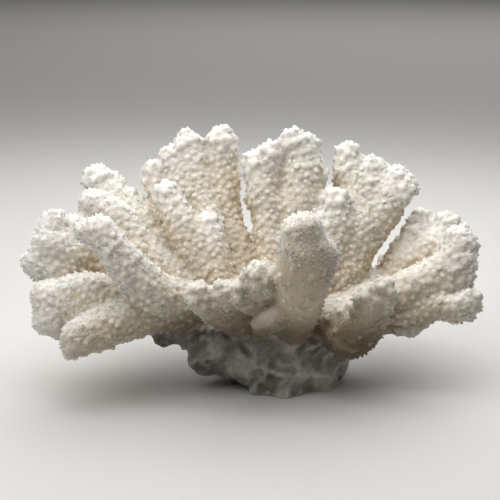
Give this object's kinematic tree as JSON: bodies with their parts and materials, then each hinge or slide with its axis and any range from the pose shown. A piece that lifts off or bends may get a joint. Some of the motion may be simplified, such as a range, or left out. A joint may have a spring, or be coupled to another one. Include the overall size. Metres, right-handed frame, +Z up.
{
  "type": "stony coral",
  "caption": "Dried branching stony coral skeleton: a low crown of stout warty branches on a short foot, cut flat to stand.",
  "frame": {"origin": "middle of the foot, on the flat cut that the coral rests on", "axes": "+X along the crown's width, to the right in the picture; +Y away from the viewer; +Z up"},
  "size_m": [0.2388, 0.1431, 0.1307],
  "materials": {
    "branch_skeleton": "matt, porous, covered in small rounded warts; white tips, tan between the branches",
    "holdfast_skeleton": "matt, grey-white broken stone, smoother than the branches, cut flat underneath"
  },
  "bodies": {
    "root": {"holdfast": "holdfast_skeleton", "left_limb": "branch_skeleton", "right_limb": "branch_skeleton", "front_column": "branch_skeleton", "front_middle_knob": "branch_skeleton", "front_left_knob": "branch_skeleton", "front_right_knob": "branch_skeleton", "lower_left_lobe": "branch_skeleton", "left_front_finger": "branch_skeleton", "left_front_ridge": "branch_skeleton", "left_upper_lobe": "branch_skeleton", "left_middle_branch": "branch_skeleton", "left_back_branch": "branch_skeleton", "inner_left_blade": "branch_skeleton", "back_left_fan": "branch_skeleton", "back_finger": "branch_skeleton", "centre_back_fan": "branch_skeleton", "inner_right_finger": "branch_skeleton", "right_back_fan": "branch_skeleton", "right_back_branch": "branch_skeleton", "right_front_blade": "branch_skeleton", "lower_right_finger": "branch_skeleton", "rear_left_branch": "branch_skeleton", "rear_middle_branch": "branch_skeleton", "rear_right_branch": "branch_skeleton", "rear_low_right_branch": "branch_skeleton", "rear_low_left_branch": "branch_skeleton", "rear_outer_left_branch": "branch_skeleton", "rear_low_middle_branch": "branch_skeleton"}
  },
  "joints": []
}
